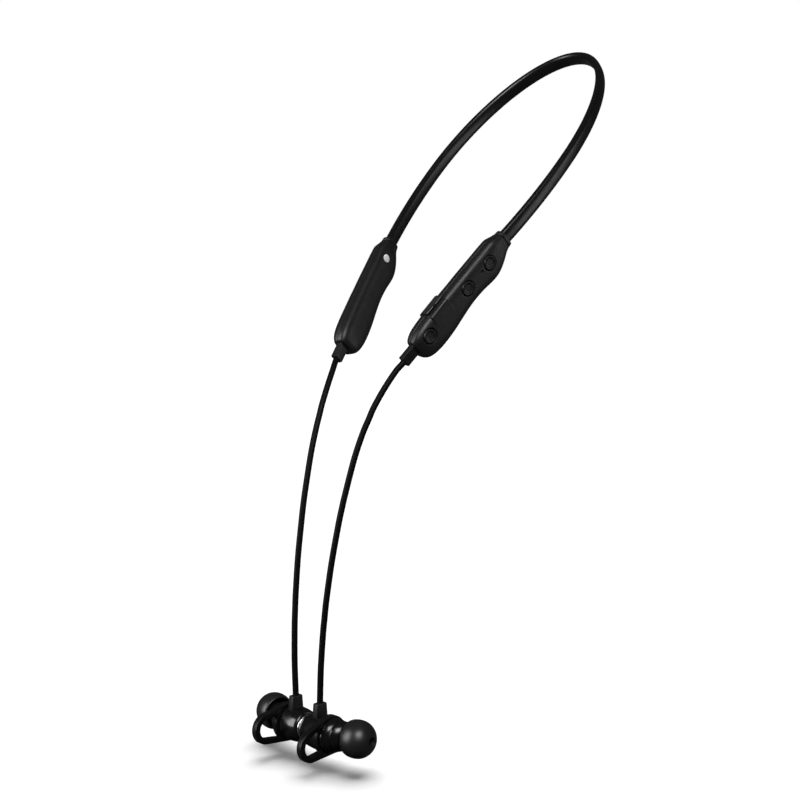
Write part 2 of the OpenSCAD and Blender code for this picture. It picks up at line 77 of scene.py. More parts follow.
# buttons and port, as in the CAD: [front, down] places on the outer face
BUTTONS = {"upper": (0.4, 11.9), "middle": (0.6, 24.2), "lower": (0.2, 45.8)}
BUTTON_R, BUTTON_GAP, BUTTON_FOOT, BUTTON_TOP = 2.45, 0.3, 2.5, 3.8
MIC_PLACE, MIC_R = (0.5, 16.2), 0.5
PORT_Z, PORT_FRONT, PORT_LEN, PORT_W, PORT_DEPTH = 37, 4.75, 7.4, 2.4, 3
FLAP_FACE, FLAP_T, FLAP_W, FLAP_LEN = 4.95, 0.75, 3.0, 8.3
FLAP_NOTCH, FLAP_PLUG = (0.9, 0.7, 1.2), (0.9, 1.8, 5.8)

# cords and buds, as in the CAD
CORD_R, CORD_GAP = 1.05, 0.05
BUD_Y, BUD_Z = -138.5, -236.2
COLLAR_X, COLLAR_Y, COLLAR_TOP, COLLAR_BASE = 6.1, -0.5, 9.9, 5.0
COLLAR_T, COLLAR_FOOT_W, COLLAR_TOP_W = 2.4, 5.0, 4.1
CORD_PLACES = [
    (15.4, -113.2, -118), (14, -117, -123.5), (12.8, -120.6, -129.5), (12.2, -122.6, -133.7),
    (11.6, -124.6, -138), (10.8, -127.6, -146), (9.9, -130.9, -157.5), (9.5, -132.3, -163),
    (9.1, -133.5, -168.5), (8.4, -135.7, -180), (7.7, -137.4, -192), (7.4, -138, -198),
    (7.1, -138.5, -204), (6.6, -139, -215),
]
BARREL_R, BARREL_LEN, GROOVE_R = 5.9, 11.4, 5.25
RING_R, RING_BAND, RING_LEN, MAGNET_FACE = 4.5, 0.9, 0.8, 0.1
NOZZLE_R, NOZZLE_ANGLE, NOZZLE_WALL = 2.3, math.radians(9), 0.7
NOZZLE_FROM, NOZZLE_TO = -5.4, 3.6
TIP_X, TIP_BACK, TIP_UP = 21, 2.5, 0.5
WING_X, WING_T, WING_SLEEVE_R = 9.0, 2.2, 6.5
LOOP_REACH, LOOP_CANT, LOOP_R, LOOP_RIM = 9.2, 1.2, 5.2, 2.0
WING_TURN = {"left": math.radians(9), "right": math.radians(5)}

# camera, room and floor: places and distances are in metres
CAMERA_PLACE, CAMERA_LENS = (0.3209, -0.4166, -0.0958), 58.5
CAMERA_TILT, CAMERA_TURN = math.radians(85.8), math.radians(45)
FLOOR_GAP = 0.0039
ROOM_LIGHT, ROOM_SEEN, SUN_LIGHT = 0.028, 1.0, 3.0
FLOOR_TONE, FLOOR_SEEN, SHADOW_LIFT = 0.07, 1.0, 0.2
LIGHT_DISTANCE, SUN_ANGLE = 0.9, math.radians(55)

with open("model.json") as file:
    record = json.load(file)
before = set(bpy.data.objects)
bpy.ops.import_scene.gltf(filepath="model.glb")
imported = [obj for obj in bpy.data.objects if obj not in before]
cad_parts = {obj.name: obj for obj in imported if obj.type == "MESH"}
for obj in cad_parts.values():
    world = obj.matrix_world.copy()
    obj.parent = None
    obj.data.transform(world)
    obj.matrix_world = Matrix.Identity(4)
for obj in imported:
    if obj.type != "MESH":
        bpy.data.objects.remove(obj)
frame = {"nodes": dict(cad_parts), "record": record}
cad_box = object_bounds()
body_of_node = {node: body for body, nodes in frame["record"]["behaviour"]["bodies"].items()
                for node in nodes}
slot_of_node = {part["node"]: part["material_slot"] for part in frame["record"]["subparts"]}


# ---- camera ----

def make_camera():
    """A long lens at the front left, level with the middle of the pods."""
    data = bpy.data.cameras.new("camera")
    data.sensor_width = 36
    data.lens = CAMERA_LENS
    camera = bpy.data.objects.new("camera", data)
    camera.location = CAMERA_PLACE
    camera.rotation_euler = (CAMERA_TILT, 0, CAMERA_TURN)
    bpy.context.scene.collection.objects.link(camera)
    bpy.context.scene.camera = camera


# ---- places ----

def band_axes():
    """The way down the slope of the U, and the way square to its plane."""
    slope = Vector((0, -math.cos(U_TILT), -math.sin(U_TILT)))
    up = Vector((0, -math.sin(U_TILT), math.cos(U_TILT)))
    return slope, up


def pod_place():
    """The left pod's own axes: X to its front edge, Y out, Z down its length."""
    slope, up = band_axes()
    down = slope * math.cos(POD_DROP) - up * math.sin(POD_DROP)
    axis = (Vector((-math.sin(POD_TURN), 0, 0)) + down * math.cos(POD_TURN)).normalized()
    front = (up - axis * up.dot(axis)).normalized()
    out = front.cross(axis)
    origin = slope * (U_LEN - BAND_T / 2) + Vector((ENTRY_HALF_W, 0, 0))
    rows = [(front[i], out[i], axis[i], origin[i]) for i in range(3)]
    return Matrix([*rows, (0, 0, 0, 1)])


MIRROR = Matrix.Diagonal((-1, 1, 1, 1))
POD = {"left": pod_place()}
POD["right"] = MIRROR @ POD["left"]
BUD = {"left": Matrix.Translation((0, BUD_Y, BUD_Z)) @ Matrix.Rotation(math.pi / 2, 4, "Y")}
BUD["right"] = MIRROR @ BUD["left"]
NOZZLE = (Matrix.Translation((-TIP_UP, TIP_BACK, TIP_X))
          @ Matrix.Rotation(-NOZZLE_ANGLE, 4, "X"))


def on_face(place, height):
    """A place on a pod's outer face, with Z facing out."""
    return Matrix.Translation((place[0], height, place[1])) @ Matrix.Rotation(-math.pi / 2, 4, "X")


# ---- curves and loops ----

def between(p0, p1, p2, p3, t):
    """A point on the smooth curve through p1 and p2, at t from 0 to 1."""
    return 0.5 * (2 * p1 + (p2 - p0) * t + (2 * p0 - 5 * p1 + 4 * p2 - p3) * t * t
                  + (3 * p1 - p0 - 3 * p2 + p3) * t ** 3)


def smoothed(rows, steps):
    """The rows joined by a smooth curve, with steps points for each span."""
    rows = [Vector(row) for row in rows]
    last = len(rows) - 1
    points = [
        between(rows[max(i - 1, 0)], rows[i], rows[i + 1], rows[min(i + 2, last)], k / steps)
        for i in range(last) for k in range(steps)
    ]
    return points + [rows[last]]


def crowned_loop(a, b, count, squareness=2.7):
    """A flattened oval with half sizes a and b; a higher squareness fills its corners."""
    power = 2 / squareness
    loop = []
    for k in range(count):
        angle = 2 * math.pi * (k + 0.5) / count
        c, s = math.cos(angle), math.sin(angle)
        loop.append((a * math.copysign(abs(c) ** power, c), b * math.copysign(abs(s) ** power, s)))
    return loop


def arc(centre, r, start, end, steps):
    """Points on a circle about a centre on the X axis, from one angle to another."""
    angles = [start + (end - start) * k / steps for k in range(steps + 1)]
    return [(centre + r * math.cos(angle), r * math.sin(angle)) for angle in angles]


def circle_loop(r, count):
    """A circle round the origin."""
    return [(r * math.cos(2 * math.pi * k / count), r * math.sin(2 * math.pi * k / count))
            for k in range(count)]


# ---- meshes ----

def new_piece(name, points, faces, place=Matrix.Identity(4)):
    """A mesh from points in millimetres, put in its place in the frame."""
    mesh = bpy.data.meshes.new(name)
    mesh.from_pydata([(place @ Vector(p)) * MM for p in points], [], faces)
    if place.determinant() < 0:
        mesh.flip_normals()
    mesh.validate()
    piece = bpy.data.objects.new(name, mesh)
    bpy.context.scene.collection.objects.link(piece)
    return piece


def skin(rings, closed_ends=True):
    """Points and faces of a surface through rings that all have the same number of points."""
    count = len(rings[0])
    points = [p for ring in rings for p in ring]
    faces = [
        (i * count + j, i * count + (j + 1) % count,
         (i + 1) * count + (j + 1) % count, (i + 1) * count + j)
        for i in range(len(rings) - 1) for j in range(count)
    ]
    if closed_ends:
        faces.append(tuple(range(count - 1, -1, -1)))
        faces.append(tuple(range(len(points) - count, len(points))))
    return points, faces


def turned(profile, count=96):
    """A surface turned about Z from an outline of [radius, height] points, closed on itself."""
    rings = [
        [(r * math.cos(2 * math.pi * k / count), r * math.sin(2 * math.pi * k / count), z)
         for k in range(count)]
        for r, z in profile
    ]
    points, faces = skin(rings, closed_ends=False)
    last = (len(rings) - 1) * count
    faces += [(last + j, last + (j + 1) % count, (j + 1) % count, j) for j in range(count)]
    return points, faces


def tube(line, section):
    """Rings of a section along a line of points, kept level by the X axis."""
    rings = []
    last = len(line) - 1
    for i, place in enumerate(line):
        along = (line[min(i + 1, last)] - line[max(i - 1, 0)]).normalized()
        side = along.cross(Vector((1, 0, 0))).normalized()
        up = side.cross(along)
        rings.append([place + side * x + up * y for x, y in section])
    return rings


def apply_modifiers(piece):
    """Puts the piece's modifiers into its mesh."""
    graph = bpy.context.evaluated_depsgraph_get()
    mesh = bpy.data.meshes.new_from_object(piece.evaluated_get(graph))
    piece.modifiers.clear()
    piece.data = mesh


def tidy_mesh(piece, sharp=35, merge=0.002):
    """Merges doubled points, faces all sides outward and shades smooth up to sharp degrees."""
    work = bmesh.new()
    work.from_mesh(piece.data)
    bmesh.ops.remove_doubles(work, verts=work.verts, dist=merge * MM)
    bmesh.ops.recalc_face_normals(work, faces=work.faces)
    work.to_mesh(piece.data)
    work.free()
    piece.data.polygons.foreach_set("use_smooth", [True] * len(piece.data.polygons))
    piece.data.set_sharp_from_angle(angle=math.radians(sharp))
    return piece


def bevel(piece, width, segments=3, angle=35):
    """Rounds the piece's edges that are sharper than angle degrees."""
    step = piece.modifiers.new("bevel", "BEVEL")
    step.width = width * MM
    step.segments = segments
    step.limit_method = "ANGLE"
    step.angle_limit = math.radians(angle)
    apply_modifiers(piece)
    return piece


def combine(piece, others, operation):
    """Cuts the others out of the piece, or joins them to it, and removes them."""
    for other in others:
        step = piece.modifiers.new("combine", "BOOLEAN")
        step.operation = operation
        step.solver = "EXACT"
        step.object = other
    apply_modifiers(piece)
    for other in others:
        bpy.data.objects.remove(other)
    return piece


def box_piece(name, size, centre, place):
    """A block, for cutting or for rounding afterwards."""
    x, y, z = (s / 2 for s in size)
    section = [(-x, -y), (x, -y), (x, y), (-x, y)]
    rings = [[(centre[0] + a, centre[1] + b, centre[2] + h) for a, b in section] for h in (-z, z)]
    return new_piece(name, *skin(rings), place)


def turned_piece(name, profile, place, count=96):
    """A piece turned from an outline about the Z axis of its place."""
    return new_piece(name, *turned(profile, count), place)


# ---- materials ----

def shader(name, colour, roughness, **values):
    """A principled material; values that are the same all over sit on its own sockets."""
    material = bpy.data.materials.new(name)
    material.use_nodes = True
    bsdf = material.node_tree.nodes["Principled BSDF"]
    bsdf.inputs["Base Color"].default_value = (*colour, 1)
    bsdf.inputs["Roughness"].default_value = roughness
    for socket, value in values.items():
        bsdf.inputs[socket.replace("_", " ")].default_value = value
    return material


def coordinates(material, stretch=(1, 1, 1)):
    """Places in millimetres in the frame, stretched along its axes."""
    nodes, links = material.node_tree.nodes, material.node_tree.links
    place = nodes.new("ShaderNodeTexCoord")
    mapping = nodes.new("ShaderNodeMapping")
    mapping.inputs["Scale"].default_value = [s / MM for s in stretch]
    links.new(place.outputs["Object"], mapping.inputs["Vector"])
    return mapping.outputs["Vector"]


def noise(material, size, detail=3, stretch=(1, 1, 1), seed=0):
    """Soft noise from 0 to 1 whose blotches are about size millimetres across."""
    nodes, links = material.node_tree.nodes, material.node_tree.links
    node = nodes.new("ShaderNodeTexNoise")
    node.noise_dimensions = "4D"
    node.inputs["W"].default_value = seed
    node.inputs["Scale"].default_value = 1 / size
    node.inputs["Detail"].default_value = detail
    links.new(coordinates(material, stretch), node.inputs["Vector"])
    return node.outputs["Fac"]


def cells(material, size, feature="F1"):
    """Distance to the nearest of the points scattered size millimetres apart."""
    nodes, links = material.node_tree.nodes, material.node_tree.links
    node = nodes.new("ShaderNodeTexVoronoi")
    node.feature = feature
    node.inputs["Scale"].default_value = 1 / size
    links.new(coordinates(material), node.inputs["Vector"])
    return node.outputs["Distance"]


def waves(material, size, axis, distortion=0.0):
    """Bands across an axis of the frame, size millimetres apart."""
    nodes, links = material.node_tree.nodes, material.node_tree.links
    node = nodes.new("ShaderNodeTexWave")
    node.bands_direction = axis
    node.inputs["Scale"].default_value = math.pi / (10 * size)
    node.inputs["Distortion"].default_value = distortion
    node.inputs["Detail"].default_value = 2
    links.new(coordinates(material), node.inputs["Vector"])
    return node.outputs["Fac"]


def spread(material, factor, low, high, start=0.35, end=0.65):
    """A number that goes from low to high as the factor goes from start to end."""
    nodes, links = material.node_tree.nodes, material.node_tree.links
    node = nodes.new("ShaderNodeMapRange")
    node.inputs["From Min"].default_value = start
    node.inputs["From Max"].default_value = end
    node.inputs["To Min"].default_value = low
    node.inputs["To Max"].default_value = high
    links.new(factor, node.inputs["Value"])
    return node.outputs["Result"]


def mixed(material, factor, first, second):
    """A colour between two; either is a colour or another node's output."""
    nodes, links = material.node_tree.nodes, material.node_tree.links
    node = nodes.new("ShaderNodeMix")
    node.data_type = "RGBA"
    links.new(factor, node.inputs["Factor"])
    for socket, value in (("A", first), ("B", second)):
        target = [i for i in node.inputs if i.name == socket and i.type == "RGBA"][0]
        if isinstance(value, bpy.types.NodeSocket):
            links.new(value, target)
        else:
            target.default_value = (*value, 1)
    return [o for o in node.outputs if o.type == "RGBA"][0]


def connect(material, output, socket):
    """Drives a socket of the material's shader with a node's output."""
    bsdf = material.node_tree.nodes["Principled BSDF"]
    material.node_tree.links.new(output, bsdf.inputs[socket])


def relief(material, height, depth):
    """Raises the surface by up to depth millimetres, on top of any relief it already has."""
    nodes, links = material.node_tree.nodes, material.node_tree.links
    bsdf = nodes["Principled BSDF"]
    bump = nodes.new("ShaderNodeBump")
    bump.inputs["Distance"].default_value = depth * MM
    links.new(height, bump.inputs["Height"])
    if bsdf.inputs["Normal"].is_linked:
        links.new(bsdf.inputs["Normal"].links[0].from_socket, bump.inputs["Normal"])
    links.new(bump.outputs["Normal"], bsdf.inputs["Normal"])


def painted_edge_highlight(material, colour, highlight_colour):
    """Paints a highlight on the convex edges: lightens them a little, as light catching their
    rounding would.
    """
    geometry = material.node_tree.nodes.new("ShaderNodeNewGeometry")
    edge = spread(material, geometry.outputs["Pointiness"], 0, 1, 0.53, 0.62)
    return mixed(material, edge, colour, highlight_colour)


def dark_moulding(name, colour, light, roughness, grain, depth, **values):
    """A dark moulded surface: two close tones, a painted highlight on its convex edges, a patchy
    sheen and a fine grain.
    """
    material = shader(name, colour, roughness[0], **values)
    tone = mixed(material, noise(material, 6, seed=1), colour, light)
    # painted highlight: the convex edges are lightened towards 2.2 times the lighter tone
    connect(material, painted_edge_highlight(material, tone, [min(1, 2.2 * c) for c in light]), "Base Color")
    patches = spread(material, noise(material, 3.5, detail=5, seed=2), *roughness)
    connect(material, patches, "Roughness")
    relief(material, noise(material, grain, detail=2, seed=3), depth)
    return material


def band_silicone():
    material = dark_moulding("band_silicone", (0.003, 0.003, 0.0033), (0.005, 0.005, 0.0054),
                             (0.27, 0.33), 0.22, 0.002, Specular_IOR_Level=0.5)
    relief(material, noise(material, 1.4, detail=4, seed=5), 0.003)
    return material


def pod_plastic():
    return dark_moulding("pod_plastic", (0.005, 0.005, 0.0054), (0.007, 0.007, 0.0075),
                         (0.4, 0.47), 0.2, 0.0015, Specular_IOR_Level=0.55)


def button_rubber():
    return dark_moulding("button_rubber", (0.005, 0.005, 0.0054), (0.007, 0.007, 0.0075),
                         (0.34, 0.42), 0.14, 0.003)


def flap_rubber():
    return dark_moulding("flap_rubber", (0.014, 0.014, 0.0145), (0.02, 0.02, 0.0205),
                         (0.25, 0.34), 0.2, 0.003)


def relief_rubber():
    return dark_moulding("relief_rubber", (0.005, 0.005, 0.0054), (0.008, 0.008, 0.0084),
                         (0.38, 0.46), 0.15, 0.006, Specular_IOR_Level=0.4)


def cord_jacket():
    material = dark_moulding("cord_jacket", (0.0025, 0.0025, 0.0027), (0.004, 0.004, 0.0043),
                             (0.4, 0.47), 0.25, 0.002, Specular_IOR_Level=0.09)
    relief(material, noise(material, 0.35, stretch=(1, 1, 0.06), seed=7), 0.006)
    return material


def bud_gloss():
    """Polished black plastic with a faint haze from handling."""
    material = shader("bud_gloss", (0.003, 0.003, 0.0033), 0.24, Coat_Weight=0.35,
                      Coat_Roughness=0.12, Specular_IOR_Level=0.5)
    haze = noise(material, 2.2, detail=5, seed=11)
    connect(material, mixed(material, haze, (0.002, 0.002, 0.0023), (0.004, 0.004, 0.0045)),
            "Base Color")
    connect(material, spread(material, haze, 0.22, 0.27), "Roughness")
    relief(material, noise(material, 0.3, detail=2, seed=12), 0.0001)
    return material


def ring_chrome():
    """Turned and polished metal with faint machining marks."""
    material = shader("ring_chrome", (0.5, 0.5, 0.51), 0.22, Metallic=1.0)
    marks = noise(material, 0.5, detail=3, stretch=(5, 1, 1), seed=21)
    connect(material, mixed(material, marks, (0.45, 0.45, 0.46), (0.55, 0.55, 0.56)), "Base Color")
    connect(material, spread(material, marks, 0.2, 0.26), "Roughness")
    relief(material, marks, 0.0003)
    return material


def tip_silicone():
    material = dark_moulding("tip_silicone", (0.006, 0.006, 0.0064), (0.009, 0.009, 0.0095),
                             (0.36, 0.42), 0.3, 0.0015, Specular_IOR_Level=0.75)
    relief(material, noise(material, 2.5, detail=2, seed=9), 0.003)
    return material


def wing_silicone():
    return dark_moulding("wing_silicone", (0.003, 0.003, 0.0033), (0.005, 0.005, 0.0054),
                         (0.3, 0.37), 0.25, 0.002, Specular_IOR_Level=0.32)


def badge_white():
    material = shader("badge_white", (0.8, 0.8, 0.8), 0.35)
    speckle = noise(material, 0.4, detail=4, seed=31)
    connect(material, mixed(material, speckle, (0.74, 0.74, 0.75), (0.86, 0.86, 0.86)),
            "Base Color")
    connect(material, spread(material, speckle, 0.3, 0.45), "Roughness")
    relief(material, speckle, 0.003)
    return material


def board():
    """Green solder mask over a grid of tracks, with bright pads."""
    material = shader("board", (0.02, 0.12, 0.06), 0.35)
    tracks = spread(material, waves(material, 0.5, "Y", 6), 0, 1, 0.7, 0.8)
    mask = mixed(material, tracks, (0.015, 0.10, 0.05), (0.03, 0.17, 0.09))
    pads = spread(material, cells(material, 1.6), 1, 0, 0.14, 0.18)
    connect(material, mixed(material, pads, mask, (0.6, 0.55, 0.4)), "Base Color")
    connect(material, spread(material, pads, 0.4, 0.2, 0, 1), "Roughness")
    relief(material, tracks, 0.02)
    return material


def cell_foil():
    material = shader("cell_foil", (0.6, 0.63, 0.66), 0.3, Metallic=0.9)
    crinkle = noise(material, 1.8, detail=6, seed=41)
    connect(material, mixed(material, crinkle, (0.5, 0.53, 0.57), (0.68, 0.7, 0.72)),
            "Base Color")
    connect(material, spread(material, crinkle, 0.22, 0.42), "Roughness")
    relief(material, crinkle, 0.08)
    return material


def metal(name, colour, light, roughness, stretch):
    """Drawn or rolled metal with fine lines along one direction."""
    material = shader(name, colour, roughness[0], Metallic=1.0)
    lines = noise(material, 0.3, detail=4, stretch=stretch, seed=51)
    connect(material, mixed(material, lines, colour, light), "Base Color")
    connect(material, spread(material, lines, *roughness), "Roughness")
    relief(material, lines, 0.004)
    return material


def steel():
    return metal("steel", (0.5, 0.5, 0.51), (0.66, 0.66, 0.67), (0.25, 0.4), (1, 8, 1))


def spring_steel():
    return metal("spring_steel", (0.5, 0.5, 0.52), (0.62, 0.62, 0.64), (0.2, 0.3), (8, 1, 1))


def copper_wire():
    """A bundle of lacquered strands."""
    material = shader("copper_wire", (0.3, 0.1, 0.06), 0.35)
    strands = waves(material, 0.35, "DIAGONAL", 1)
    connect(material, mixed(material, strands, (0.3, 0.05, 0.03), (0.55, 0.25, 0.12)),
            "Base Color")
    connect(material, spread(material, strands, 0.3, 0.45, 0, 1), "Roughness")
    relief(material, strands, 0.05)
    return material


def mesh_steel():
    """Fine woven wire cloth, with painted shade in its openings."""
    material = shader("mesh_steel", (0.2, 0.2, 0.21), 0.4, Metallic=1.0)
    weave = spread(material, cells(material, 0.22), 1, 0, 0.25, 0.5)
    # painted shade: the near-black cell centres stand for the dark openings between the wires
    connect(material, mixed(material, weave, (0.25, 0.25, 0.26), (0.01, 0.01, 0.01)),
            "Base Color")
    connect(material, spread(material, weave, 0.35, 0.6, 0, 1), "Roughness")
    relief(material, weave, 0.04)
    return material


MATERIALS = {make.__name__: make() for make in (
    band_silicone, pod_plastic, button_rubber, flap_rubber, relief_rubber, cord_jacket,
    bud_gloss, ring_chrome, tip_silicone, wing_silicone, badge_white, board, cell_foil,
    steel, spring_steel, copper_wire, mesh_steel,
)}


def dress(piece, node):
    """Gives a piece that stands for a CAD node its material, slot and body."""
    slot = slot_of_node[node]
    piece.data.materials.clear()
    piece.data.materials.append(MATERIALS[slot])
    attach(piece, body_of_node[node])
    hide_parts(node)
    return piece


# ---- cords ----

# how far along a cord its swing is spread, points for each span, and length in the relief
CORD_BEND, CORD_STEPS, CORD_ROOT = 30, 8, 1.2


def cord_line(side):
    """The centre line of a cord, from the strain relief at its pod to the collar of its bud."""
    start = POD["left"] @ Vector((RELIEF_X, 0, POD_LEN + RELIEF_LEN + CORD_GAP + CORD_R))
    end = Vector((COLLAR_X, BUD_Y + COLLAR_Y, BUD_Z + COLLAR_TOP))
    line = smoothed([start, *CORD_PLACES, end], CORD_STEPS)
    return line if side == "left" else [MIRROR @ p for p in line]


def make_cord(side):
    """A round jacket that comes straight out of the strain relief."""
    line = cord_line(side)
    root = [POD[side] @ Vector((RELIEF_X, 0, POD_LEN + RELIEF_LEN + depth))
            for depth in (-CORD_ROOT, 0.1 - CORD_ROOT, 0)]
    rings = tube(root + line, circle_loop(CORD_R, 24))
    piece = tidy_mesh(new_piece(f"{side}_cord_jacket", *skin(rings)))
    piece.data.materials.append(MATERIALS["cord_jacket"])
    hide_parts(f"{side}_cord")
    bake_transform(piece)


# ---- neckband ----

def band_line():
    """The centre line of the U from the right pod round the crown to the left pod."""
    bend = (U_HALF_W - ENTRY_HALF_W) / (U_LEN - CROWN_LEN) ** 2
    reach = U_LEN + BAND_INTO_POD - CROWN_LEN
    steps, turns = 24, 72

    def leg(side, k):
        s = CROWN_LEN + reach * k / steps
        return side * (U_HALF_W - bend * (s - CROWN_LEN) ** 2), s

    crown = [(U_HALF_W * math.sin(a), CROWN_LEN * (1 - math.cos(a)))
             for a in (math.pi * k / turns for k in range(-turns // 2, turns // 2 + 1))]
    return ([leg(-1, k) for k in range(steps, 0, -1)] + crown
            + [leg(1, k) for k in range(1, steps + 1)])


def make_band():
    """The silicone sleeve: a band with crowned faces and round edges, swept along the U."""
    slope, up = band_axes()
    line = band_line()
    section = crowned_loop(BAND_W / 2, BAND_T / 2, 56)
    rings = []
    last = len(line) - 1
    for i, (x, s) in enumerate(line):
        before, after = Vector(line[max(i - 1, 0)]), Vector(line[min(i + 1, last)])
        along = (after - before).normalized()
        centre = Vector((x, 0, 0)) + slope * (s - BAND_T / 2)
        across = Vector((-along.y, 0, 0)) + slope * along.x
        rings.append([centre + up * a + across * b for a, b in section])
    piece = tidy_mesh(new_piece("neckband_silicone", *skin(rings)))
    dress(piece, "neckband_sleeve")


# ---- pods ----

POD_FACE = 3.5
SEAM = 0.12
COLLAR_END, COLLAR_GROOVE, COLLAR_RAISE, GROOVE_REACH = 1.4, 0.22, 0.1, 0.22
SHOULDER, SHOULDER_CORNER = 4.5, 0.24
END_ROUND = 0.5
RING_STEP = 0.4


def pod_places():
    """Places down a pod for its rings, closer together where its shape changes quickly."""
    count = int(POD_LEN / RING_STEP)
    places = {round(RING_STEP * k, 3) for k in range(count + 1)} | {POD_LEN}
    for middle, reach, step in ((COLLAR_END, 0.4, 0.05), (PORT_Z - SHOULDER, 0.4, 0.1),
                                (PORT_Z + SHOULDER, 0.4, 0.1), (POD_LEN - 0.3, 0.3, 0.06)):
        count = round(2 * reach / step)
        places |= {round(middle - reach + step * k, 3) for k in range(count + 1)}
    return sorted(place for place in places if 0 <= place <= POD_LEN)


def row_at(rows, place):
    """Front edge, rear edge and half thickness at a place, from rows close together."""
    for a, b in zip(rows, rows[1:]):
        if place <= b[0]:
            t = (place - a[0]) / (b[0] - a[0])
            return [u + (v - u) * t for u, v in zip(a[1:], b[1:])]
    return list(rows[-1][1:])


def end_inset(place):
    """How far a pod's surface is drawn in at its lower end and at the groove by its collar."""
    groove = max(0, 1 - abs(place - COLLAR_END) / GROOVE_REACH) * COLLAR_GROOVE
    rise = COLLAR_RAISE if place < COLLAR_END else 0
    left = max(0, place - (POD_LEN - END_ROUND))
    rounding = END_ROUND - math.sqrt(max(0, END_ROUND ** 2 - left ** 2))
    return groove - rise + rounding


def half_loop(row, place, inset, squared):
    """Half of a pod's section, from front to rear. Its front corner is squarer by the port."""
    front, rear, half = row
    middle, reach = (front - rear) / 2, (front + rear) / 2 - inset
    by_port = min(1, max(0, (SHOULDER - abs(place - PORT_Z)) / 0.25)) if squared else 0
    front_corner = POD_CORNER + (SHOULDER_CORNER - POD_CORNER) * by_port
    angles = [0, 0.2, 0.7, 1.6] + [3 * k for k in range(1, 60)] + [178.4, 179.3, 179.8, 180]
    loop = []
    for angle in (math.radians(a) for a in angles):
        c, s = math.cos(angle), max(0.0, math.sin(angle))
        corner = front_corner if c > 0 else POD_CORNER
        x = reach * math.copysign(abs(c) ** corner, c)
        y = (half - inset) * s ** corner
        loop.append((middle + x, y, place))
    return loop


def seam_chamfer(loop):
    """Draws the edge of a half shell in a little, which makes a fine line where halves meet."""
    edge = []
    for x, y, place in loop:
        inward = max(0, SEAM - y) * 0.8
        edge.append((x - math.copysign(inward, x), y, place))
    return edge


def shell_half(name, pod_side, outward, squared):
    """A half of a pod's shell; outward is 1 for the outer half and -1 for the inner half."""
    rows = smoothed_rows()
    rings = []
    for place in pod_places():
        row = row_at(rows, place)
        outer = seam_chamfer(half_loop(row, place, end_inset(place), squared))
        inner = half_loop(row, place, POD_WALL, False)
        loop = outer + inner[::-1]
        rings.append([(x, outward * y, z) for x, y, z in loop])
    points, faces = skin(rings, closed_ends=False)
    count = len(rings[0])
    last = len(points) - count
    for j in range(count // 2 - 1):
        k = count - 1 - j
        faces.append((j, j + 1, k - 1, k))
        faces.append((last + k, last + k - 1, last + j + 1, last + j))
    piece = new_piece(name, points, faces, POD[pod_side])
    return tidy_mesh(piece, merge=0.0005)


def smoothed_rows():
    """The pod's rows joined by smooth curves, each value on its own."""
    last = len(POD_ROWS) - 1
    rows = []
    for i in range(last):
        for k in range(12):
            picks = (POD_ROWS[max(i - 1, 0)], POD_ROWS[i], POD_ROWS[i + 1],
                     POD_ROWS[min(i + 2, last)])
            rows.append([between(*(row[n] for row in picks), k / 12) for n in range(4)])
    return rows + [list(POD_ROWS[last])]


def hole_cutter(place, r, flare):
    """A round cutter that widens at the surface, so that the hole has a soft lip."""
    low, high, surface = -1.5, 3, POD_FACE - BUTTON_FOOT
    profile = [(0, low), (r, low), (r, surface - flare),
               (r + 0.3 * flare, surface - 0.3 * flare), (r + flare, surface + 0.02),
               (r + flare, high), (0, high)]
    return turned_piece("cutter", profile, POD["left"] @ on_face(place, BUTTON_FOOT), 72)


def port_cutter():
    """The mouth of the charging port, through the front edge of both halves."""
    return box_piece("cutter", (PORT_DEPTH, PORT_W, PORT_LEN), (PORT_FRONT, 0, PORT_Z),
                     POD["left"])


def badge_seat(side, height):
    """A place at a pod's badge, with Z facing out of the pod's inner face."""
    turn = Matrix.Rotation(math.pi, 4, "X")
    return POD[side] @ on_face(BADGE_PLACE, height - BADGE_FACE) @ turn


def badge_cutter(side):
    """A shallow round seat in a pod's inner face."""
    r = BADGE_R + BADGE_EDGE
    profile = [(0, -0.5), (r, -0.5), (r, 1), (0, 1)]
    return turned_piece("cutter", profile, badge_seat(side, BADGE_SEAT), 64)


def make_shells():
    """The two halves of each pod, with the holes for its badge, buttons, microphone and port."""
    for side in ("right", "left"):
        outer = shell_half(f"{side}_pod_outer", side, 1, side == "left")
        inner = shell_half(f"{side}_pod_inner", side, -1, side == "left")
        combine(inner, [badge_cutter(side)], "DIFFERENCE")
        if side == "left":
            cutters = [hole_cutter(place, BUTTON_R + BUTTON_GAP, 0.34)
                       for place in BUTTONS.values()]
            cutters.append(hole_cutter(MIC_PLACE, MIC_R, 0.12))
            combine(outer, cutters + [port_cutter()], "DIFFERENCE")
            combine(inner, [port_cutter()], "DIFFERENCE")
        for piece, node in ((outer, "outer_shell"), (inner, "inner_shell")):
            dress(tidy_mesh(piece, merge=0.0005), f"{side}_{node}")


def make_badge(side):
    """A plain white disc with a soft edge, sunk in the pod's inner face."""
    thick, r = BADGE_T, BADGE_R - BADGE_EDGE
    profile = [(0, 0), (r, 0), (r, thick - 0.12), (r - 0.05, thick - 0.04), (r - 0.14, thick),
               (0, thick + 0.03)]
    disc = turned_piece(f"{side}_badge_disc", profile, badge_seat(side, thick), 64)
    piece = tidy_mesh(disc)
    dress(piece, f"{side}_badge")


